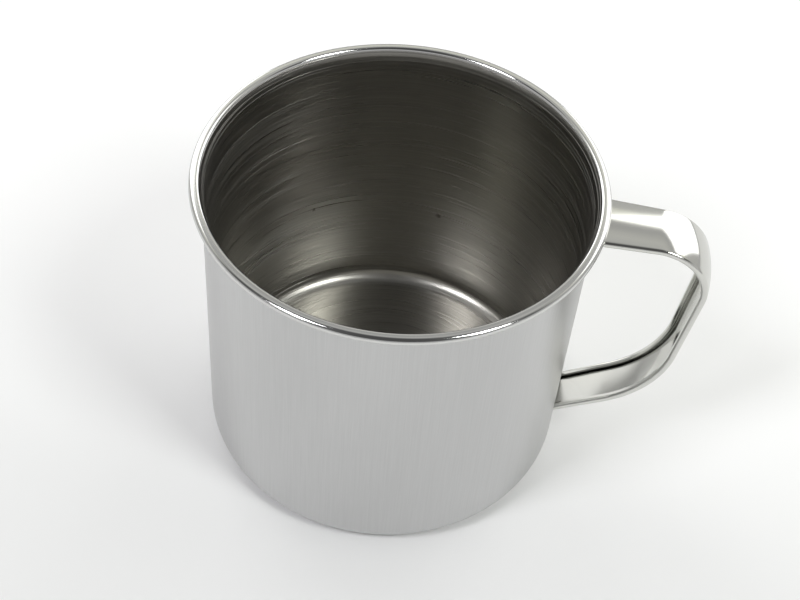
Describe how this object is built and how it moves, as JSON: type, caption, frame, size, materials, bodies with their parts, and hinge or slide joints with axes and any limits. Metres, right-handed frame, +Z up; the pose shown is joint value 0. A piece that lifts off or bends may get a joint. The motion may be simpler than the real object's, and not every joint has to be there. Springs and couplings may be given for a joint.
{
  "type": "deep drawn metal cup",
  "caption": "Straight-walled deep drawn steel cup with a rolled rim, rounded base edge and a pressed strip handle with rolled edges.",
  "frame": {"origin": "centre of the base face, on the axis of the cup", "axes": "+Z up the axis of the cup to its mouth, +X out along the handle"},
  "size_m": [0.1078, 0.085, 0.073],
  "materials": {
    "cup_steel": "satin, turned inside",
    "handle_steel": "polished steel"
  },
  "bodies": {
    "root": {"cup": "cup_steel", "handle": "handle_steel"}
  },
  "joints": []
}
